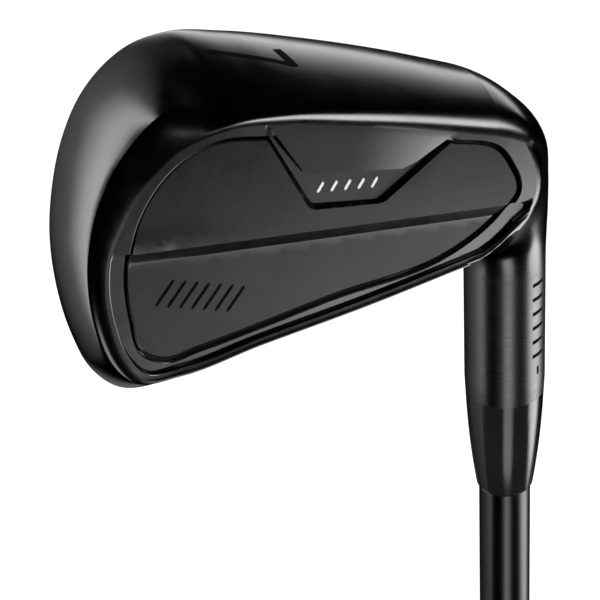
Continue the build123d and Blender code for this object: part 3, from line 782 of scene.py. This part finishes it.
def bars(name, start, pitch, count, size, slant, level, lift):
    """A row of slanted strokes on a flat at a level."""
    starts = [np.array(start) + np.array(pitch) * i for i in range(count)]
    points, faces = joined([bar(at, *size, slant, level - STROKE_ROOT, level + lift) for at in starts])
    return make_mesh(name, to_row(points), faces)


def film(where, normal, lift):
    """Thin film over a grid of places on a surface and their outward normals."""
    top, under = (where + normal * lift).reshape(-1, 3), (where - normal * lift).reshape(-1, 3)
    return np.concatenate([top, under]), thick(grid_faces(*where.shape[:2]), len(top))


def on_sole(head, x, y):
    """Place and outward normal on the sole for a place in the head frame's x and y."""
    start = Vector(to_row([x, y, BELOW_SOLE]))
    way = Vector(to_row([x, y, 0.0])) - start
    _, place, normal, _ = head.ray_cast(start, way.normalized())
    return np.array(place), np.array(normal)


def sole_number(head):
    """A plain seven on the sole."""
    parts = []
    for start, end, stroke in SEVEN:
        a, b = np.array(start), np.array(end)
        along = unit(b - a)
        across = np.array([-along[1], along[0]])
        sides = across * stroke * np.linspace(-0.5, 0.5, SEVEN_ACROSS)[:, None]
        centres = a + (b - a) * np.linspace(0, 1, SEVEN_ALONG)[:, None]
        grid = np.array([[on_sole(head, *(centre + side)) for side in sides] for centre in centres])
        parts.append(film(grid[:, :, 0], grid[:, :, 1], SEVEN_LIFT * MM))
    points, faces = joined(parts)
    return make_mesh("sole_number", points, faces)


def hosel_marks():
    """A column of plain dashes round the hosel."""
    parts = []
    marks = [(t, *HOSEL_MARK_SIZE) for t in HOSEL_MARK_T] + [(HOSEL_DASH_T, *HOSEL_DASH_SIZE)]
    around, down = np.linspace(-0.5, 0.5, HOSEL_MARK_ROUND), np.linspace(-0.5, 0.5, HOSEL_MARK_DOWN)
    for t, wide, tall in marks:
        turn = math.radians(HOSEL_MARK_AZIMUTH) + around * wide / HOSEL_R
        level = CLUB_LENGTH - t + down * tall
        normal = np.stack([np.cos(turn), np.sin(turn), 0 * turn], axis=1)
        normal = np.repeat(normal[None], HOSEL_MARK_DOWN, axis=0)
        where = normal * HOSEL_R + np.multiply.outer(level, [0, 0, 1])[:, None]
        parts.append(film(where * MM, normal, HOSEL_MARK_LIFT * MM))
    points, faces = joined(parts)
    return make_mesh("hosel_marks", points, faces)


# ---- materials ----
SATIN_SHADES = ((0.055, 0.055, 0.056), (0.066, 0.066, 0.067))
SATIN_ROUGH = (0.25, 0.31)
BLACK_SHADES = ((0.125, 0.125, 0.127), (0.145, 0.145, 0.147))
POLISHED_ROUGH = (0.15, 0.21)
BRUSHED_ROUGH = (0.26, 0.36)
HOSEL_BRUSHED_Z = 904.0
HOSEL_BRUSH_FADE = 6.0
BRUSH_STRETCH = (70, 70, 5200)
RAMP_SHADES = ((0.024, 0.024, 0.025), (0.03, 0.03, 0.031))
LIP_SLANT = math.radians(5.6)
RAMP_ACROSS = BACK_Y * math.cos(LIP_SLANT) - BACK_X * math.sin(LIP_SLANT)
# Where the ramp's look shows: direction, from, to, fade at either end.
RAMP_ZONE = [
    (BACK_X, 20.0, 58.2, 20.0, 0.5),
    (RAMP_ACROSS, 1.8, 18.0, 0.8, 1.0),
    (BACK_N, -2.6, 1.0, 0.3, 0.3),
]
RUBBER_SHADES = (0.012, (0.028, 0.028, 0.027))
RUBBER_ROUGH = (0.62, 0.8)
TREAD_TURN = (40.0, 25.0)
TREAD_SCALE = 160.0
COAT_ROUGH = 0.08
CLOUD_SCALE, SMEAR_SCALE = 90.0, 260.0


def nodes_of(name):
    material = bpy.data.materials.new(name)
    material.use_nodes = True
    tree = material.node_tree
    return material, tree, tree.nodes["Principled BSDF"]


def set_sockets(tree, node, sockets):
    """Link each named input to a socket, or set its value."""
    for name, value in sockets.items():
        if isinstance(value, bpy.types.NodeSocket):
            tree.links.new(value, node.inputs[name])
        else:
            node.inputs[name].default_value = value


def add_node(tree, kind, sockets, **settings):
    node = tree.nodes.new(kind)
    for name, value in settings.items():
        setattr(node, name, value)
    set_sockets(tree, node, sockets)
    return node


def object_place(tree):
    return tree.nodes.new("ShaderNodeTexCoord").outputs["Object"]


def noise(tree, scale, stretch=(1, 1, 1), detail=4.0, rough=0.55):
    """Noise in the object's own coordinates, stretched along its axes."""
    mapping = add_node(tree, "ShaderNodeMapping", {"Vector": object_place(tree), "Scale": stretch})
    sockets = {"Vector": mapping.outputs["Vector"], "Scale": scale, "Detail": detail, "Roughness": rough}
    return add_node(tree, "ShaderNodeTexNoise", sockets).outputs["Fac"]


def ranged(tree, value, low, high, start=0.3, end=0.7):
    """Value that goes from low to high while the given one goes from start to end."""
    sockets = {"Value": value, "From Min": start, "From Max": end, "To Min": low, "To Max": high}
    return add_node(tree, "ShaderNodeMapRange", sockets).outputs["Result"]


def faded(tree, value, nought, one):
    """Smooth step from nought to one between two values."""
    sockets = {"Value": value, "From Min": nought, "From Max": one}
    return add_node(tree, "ShaderNodeMapRange", sockets, interpolation_type="SMOOTHSTEP").outputs["Result"]


def bump(tree, value, strength, distance_mm, before=None):
    """Bump, on top of an earlier one if there is one."""
    sockets = {"Strength": strength, "Distance": distance_mm * MM, "Height": value}
    if before is not None:
        sockets["Normal"] = before
    return add_node(tree, "ShaderNodeBump", sockets).outputs["Normal"]


def product(tree, values):
    total = values[0]
    for value in values[1:]:
        total = add_node(tree, "ShaderNodeMath", {0: total, 1: value}, operation="MULTIPLY").outputs[0]
    return total


def mixed(tree, share, first, second):
    return add_node(tree, "ShaderNodeMix", {"Factor": share, 2: first, 3: second}).outputs[0]


def tinted(tree, share, dark, light):
    """Blend of two colours, each given as a grey, three numbers or a socket."""
    sockets = {"Factor": share, "A": dark, "B": light}
    for name, colour in (("A", dark), ("B", light)):
        if not isinstance(colour, bpy.types.NodeSocket):
            sockets[name] = (*np.broadcast_to(colour, 3).tolist(), 1)
    return add_node(tree, "ShaderNodeMix", sockets, data_type="RGBA").outputs["Result"]


def finish_material(name, dark, light, metallic, rough, grain, coat=0.0, stretch=(1, 1, 1), specular=0.5):
    """Principled finish with a mottled colour and roughness and a fine grain.

    The grain is a noise's scale, the bump's strength and its depth in millimetres.
    """
    material, tree, shader = nodes_of(name)
    cloud = noise(tree, CLOUD_SCALE, stretch)
    smear = noise(tree, SMEAR_SCALE, stretch, 6.0, 0.65)
    scale, strength, depth = grain
    set_sockets(tree, shader, {
        "Metallic": metallic, "Specular IOR Level": specular,
        "Coat Weight": coat, "Coat Roughness": COAT_ROUGH,
        "Base Color": tinted(tree, ranged(tree, cloud, 0, 1), dark, light),
        "Roughness": ranged(tree, smear, *rough),
        "Normal": bump(tree, noise(tree, scale, stretch), strength, depth),
    })
    return material


def back_value(tree, place, direction):
    """A place's distance in metres along a direction from the back plane's origin."""
    along = Vector(to_row(BACK_O + direction) - to_row(BACK_O)) / MM
    dot = add_node(tree, "ShaderNodeVectorMath", {0: place, 1: along}, operation="DOT_PRODUCT")
    sockets = {0: dot.outputs["Value"], 1: along.dot(Vector(to_row(BACK_O)))}
    return add_node(tree, "ShaderNodeMath", sockets, operation="SUBTRACT").outputs[0]


def ramp_mask(tree, place):
    """One on the ramp between the chevron's legs, fading to nought beside it."""
    parts = []
    for direction, low, high, fade_low, fade_high in RAMP_ZONE:
        value = back_value(tree, place, direction)
        parts.append(faded(tree, value, low * MM, (low + fade_low) * MM))
        parts.append(faded(tree, value, high * MM, (high - fade_high) * MM))
    return product(tree, parts)


def head_material():
    """Black plated steel: polished on the blade, brushed round the hosel, satin on the ramp."""
    material, tree, shader = nodes_of("black_steel")
    shader.inputs["Metallic"].default_value = 1.0
    place = object_place(tree)
    split = add_node(tree, "ShaderNodeSeparateXYZ", {"Vector": place})
    end = HOSEL_BRUSHED_Z * MM
    on_hosel = ranged(tree, split.outputs["Z"], 1, 0, end, end + HOSEL_BRUSH_FADE * MM)
    on_ramp = ramp_mask(tree, place)
    cloud = ranged(tree, noise(tree, 60.0), 0, 1)
    lines = noise(tree, 1.0, BRUSH_STRETCH, 3.0)
    polished = ranged(tree, noise(tree, 240.0, detail=7.0, rough=0.7), *POLISHED_ROUGH)
    rough = mixed(tree, on_hosel, polished, ranged(tree, lines, *BRUSHED_ROUGH))
    rings = bump(tree, product(tree, [lines, on_hosel]), 0.35, 0.02)
    black, grey = tinted(tree, cloud, *BLACK_SHADES), tinted(tree, cloud, *RAMP_SHADES)
    set_sockets(tree, shader, {
        "Base Color": tinted(tree, on_ramp, black, grey),
        "Roughness": mixed(tree, on_ramp, rough, ranged(tree, lines, *SATIN_ROUGH)),
        "Normal": bump(tree, noise(tree, 900.0), 0.02, 0.02, rings),
    })
    return material


def grip_material():
    """Black rubber with a fine moulded tread of small diamonds."""
    material, tree, shader = nodes_of("grip_rubber_look")
    place = object_place(tree)
    waves = []
    for side in (1, -1):
        turn = (0, *(math.radians(angle * side) for angle in TREAD_TURN))
        mapping = add_node(tree, "ShaderNodeMapping", {"Vector": place, "Rotation": turn})
        sockets = {"Vector": mapping.outputs["Vector"], "Scale": TREAD_SCALE, "Distortion": 0.4}
        waves.append(add_node(tree, "ShaderNodeTexWave", sockets).outputs["Fac"])
    tread = bump(tree, product(tree, waves), 0.6, 0.35)
    worn = ranged(tree, noise(tree, 45.0, detail=6.0), 0, 1)
    set_sockets(tree, shader, {
        "Base Color": tinted(tree, worn, *RUBBER_SHADES),
        "Roughness": ranged(tree, worn, *RUBBER_ROUGH, 0, 1),
        "Normal": bump(tree, noise(tree, 2400.0), 0.25, 0.1, tread),
    })
    return material


# ---- pieces and their looks ----
CHEVRON_LOOP = chevron_loop(CHEVRON)
CHEVRON_TOP = chevron_loop(CHEVRON_EDGE)

head = head_mesh()
plate = muscle_plate()
inlay_piece = inlay()
silver = bars("inlay_strokes", (32.8, 14.1), (2.7, 0.43), 5, (1.9, 0.55), 65.0, INLAY_TOP, 0.12)
strokes = bars("plate_strokes", (55.0, 32.6), (2.3, 0.0), 7, (5.0, 0.6), 60.0, SHELF_FLOOR, 0.02)
seven = sole_number(head)
dashes = hosel_marks()

steel = head_material()
satin = finish_material("satin_black", *SATIN_SHADES, 1.0, SATIN_ROUGH, (1800.0, 0.12, 0.02))
insert = finish_material("blasted_black", 0.10, 0.12, 1.0, (0.42, 0.5), (2500.0, 0.2, 0.03))
paint = finish_material("black_paint", 0.0008, 0.0016, 0.0, (0.7, 0.8), (900.0, 0.1, 0.02), specular=0.05)
silver_paint = finish_material("silver_mark", (0.7, 0.7, 0.71), 0.8, 0.6, (0.3, 0.4), (900.0, 0.1, 0.02))
gloss = finish_material("gloss_black", 0.006, 0.01, 0.0, (0.10, 0.16), (700.0, 0.03, 0.02), coat=0.6)
tube = finish_material(
    "tube_black", (0.075, 0.075, 0.077), (0.09, 0.09, 0.092), 1.0, (0.24, 0.3), (1500.0, 0.05, 0.02),
    stretch=(1, 1, 0.15),
)
rubber = grip_material()
soft = finish_material("soft_black", 0.012, 0.022, 0.0, (0.55, 0.7), (1200.0, 0.2, 0.05))
tungsten = finish_material(
    "tungsten", (0.28, 0.27, 0.26), (0.34, 0.33, 0.32), 1.0, (0.4, 0.5), (1500.0, 0.15, 0.03),
)
brass = finish_material("brass", (0.62, 0.45, 0.18), (0.72, 0.53, 0.24), 1, (0.3, 0.4), (1200.0, 0.1, 0.02))
resin = finish_material("resin", (0.42, 0.36, 0.24), (0.5, 0.43, 0.3), 0.0, (0.3, 0.45), (700.0, 0.1, 0.03))
paper = finish_material("tape", (0.6, 0.55, 0.42), (0.68, 0.62, 0.5), 0.0, (0.7, 0.85), (1500.0, 0.3, 0.05))
band = finish_material(
    "band_film", (0.03, 0.03, 0.032), (0.05, 0.05, 0.052), 0.0, (0.2, 0.28), (700.0, 0.05, 0.02), coat=0.3,
)
white = finish_material("ring_paint", (0.7, 0.7, 0.69), (0.8, 0.8, 0.79), 0, (0.5, 0.6), (1500, 0.1, 0.02))

# Pieces built here, each with the CAD node that it stands for, its slot and its look.
BUILT = [
    (head, "head_body", "head_black", steel),
    (plate, "muscle_plate", "plate_black", satin),
    (inlay_piece, "chevron_inlay", "inlay_black", satin),
    (silver, "inlay_marks", "mark_silver", silver_paint),
    (strokes, "plate_marks_paint", "paint_black", paint),
    (seven, "sole_number_paint", "paint_black", paint),
    (dashes, "hosel_marks_paint", "paint_black", paint),
]
for piece, node, slot, look in BUILT:
    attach(piece, "root")
    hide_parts(node)
    piece.data.materials.append(look)

# CAD nodes shown as they are, with a look of their own.
KEPT = {
    "face_insert": insert, "toe_weight": tungsten, "heel_weight": tungsten, "core_damper": soft,
    "core_plug": tungsten, "plate_adhesive": soft, "hosel_epoxy": resin, "tip_plug": brass,
    "ferrule": gloss, "shaft": tube, "shaft_band": band, "grip": rubber, "grip_paint_rings": white,
    "grip_tape": paper, "grip_cap": soft,
}
for name, look in KEPT.items():
    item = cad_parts[name]
    item.data.materials.clear()
    item.data.materials.append(look)


# ---- floor, light and camera ----
FLOOR_SIZE = 16.0
FLOOR_POINTS = 9
WORLD_STRENGTH = 1.2
HEAD_CENTRE = Vector((-0.03, 0.0, 0.9))
CAMERA_LENS = 191.0
CAMERA_SENSOR = 36.0
CAMERA_CLIP_END = 50.0
CAMERA_PLACE = Vector((-0.247409, -0.374716, 1.199666))
CAMERA_AIM = Vector((-0.030369, 0.016834, 0.897702))
CAMERA_AZIMUTH = math.radians(-29.0)
CAMERA_ROLL = math.radians(-2.508)


def heading(azimuth, elevation):
    """Direction from the head: nought looks along -Y and 90 along +X."""
    a, e = math.radians(azimuth), math.radians(elevation)
    return Vector((math.sin(a) * math.cos(e), -math.cos(a) * math.cos(e), math.sin(e)))


def softbox(name, azimuth, elevation, roll_angle, wide, tall, radiance, fades, reach=1.4):
    """Area light seen from the head at a heading, with a size in degrees and soft sides.

    The fades are the shares of the width and height over which it dies away: left, right, low, high.
    """
    data = bpy.data.lights.new(name, "AREA")
    data.shape = "RECTANGLE"
    data.size = 2 * reach * math.tan(math.radians(wide / 2))
    data.size_y = 2 * reach * math.tan(math.radians(tall / 2))
    data.energy = math.pi * radiance * data.size * data.size_y
    data.use_nodes = True
    tree = data.node_tree
    place = tree.nodes.new("ShaderNodeNewGeometry").outputs["Parametric"]
    split = add_node(tree, "ShaderNodeSeparateXYZ", {"Vector": place})
    parts = []
    for axis, near, share in zip("XXYY", (0, 1, 0, 1), fades):
        parts.append(faded(tree, split.outputs[axis], near, abs(near - share)))
    tree.links.new(product(tree, parts), tree.nodes["Emission"].inputs["Strength"])
    lamp = add_object(name, data)
    way = heading(azimuth, elevation)
    lamp.matrix_world = Matrix.Translation(HEAD_CENTRE + way * reach) @ (
        way.to_track_quat("Z", "Y").to_matrix().to_4x4()
        @ Matrix.Rotation(math.radians(roll_angle), 4, "Z")
    )
    lamp.visible_camera = False


softbox("toe_panel", -159, 3, 37, 80, 134, 0.9, (1.3, 0.03, 0.05, 0.05))
softbox("toe_glow", -141, 17, 37, 32, 144, 2.3, (1.0, 0.08, 0.05, 0.05), 1.5)
softbox("sole_panel", 136, 11, 0, 56, 30, 2.0, (0.12, 0.15, 0.25, 1.2))
softbox("back_strip_high", 62, 13, 0, 20, 24, 4.8, (0.2, 0.5, 0.1, 0.15))
softbox("back_strip_low", 62, -30, -16, 54, 33, 4.0, (0.35, 0.35, 0.2, 0.35))
softbox("face_fill", 140, -62, 0, 70, 34, 0.25, (0.25, 0.25, 0.25, 0.25))
softbox("face_strip", -100, 24, 0, 16, 60, 1.6, (0.4, 0.4, 0.2, 0.2))
softbox("front_strip", -20, -34, 0, 30, 42, 1.7, (0.3, 0.4, 0.1, 0.3))


def add_floor():
    """Pale floor that the head's metal doesn't mirror."""
    side = np.linspace(-FLOOR_SIZE / 2, FLOOR_SIZE / 2, FLOOR_POINTS)
    grid = np.stack(np.meshgrid(side, side, indexing="ij"), axis=-1).reshape(-1, 2)
    mesh = bpy.data.meshes.new("floor")
    mesh.from_pydata([(x, y, 0.0) for x, y in grid], [], grid_faces(FLOOR_POINTS, FLOOR_POINTS))
    floor = add_object("floor", mesh)
    pale = finish_material("pale_floor", 0.88, 0.9, 0.0, (0.85, 0.95), (20.0, 0.02, 0.5), specular=0.1)
    mesh.materials.append(pale)
    floor.visible_glossy = False
    floor.visible_shadow = False


def add_world():
    """White surroundings that light the object but don't show in its reflections."""
    world = bpy.data.worlds.new("studio")
    bpy.context.scene.world = world
    world.use_nodes = True
    back = world.node_tree.nodes["Background"]
    back.inputs["Color"].default_value = (1, 1, 1, 1)
    back.inputs["Strength"].default_value = WORLD_STRENGTH
    world.cycles_visibility.glossy = False


def add_camera():
    """The photo's camera, turned about its own axis by the roll."""
    data = bpy.data.cameras.new("camera")
    camera = add_object("camera", data)
    data.sensor_width = CAMERA_SENSOR
    data.lens = CAMERA_LENS
    data.clip_end = CAMERA_CLIP_END
    away = (CAMERA_PLACE - CAMERA_AIM).normalized()
    level = Vector((math.cos(CAMERA_AZIMUTH), math.sin(CAMERA_AZIMUTH), 0))
    up = away.cross(level)
    right = level * math.cos(CAMERA_ROLL) + up * math.sin(CAMERA_ROLL)
    above = up * math.cos(CAMERA_ROLL) - level * math.sin(CAMERA_ROLL)
    pose = Matrix((right, above, away)).transposed().to_4x4()
    pose.translation = CAMERA_PLACE
    camera.matrix_world = pose
    bpy.context.scene.camera = camera


add_floor()
add_world()
add_camera()
bpy.context.scene.view_settings.view_transform = "Standard"
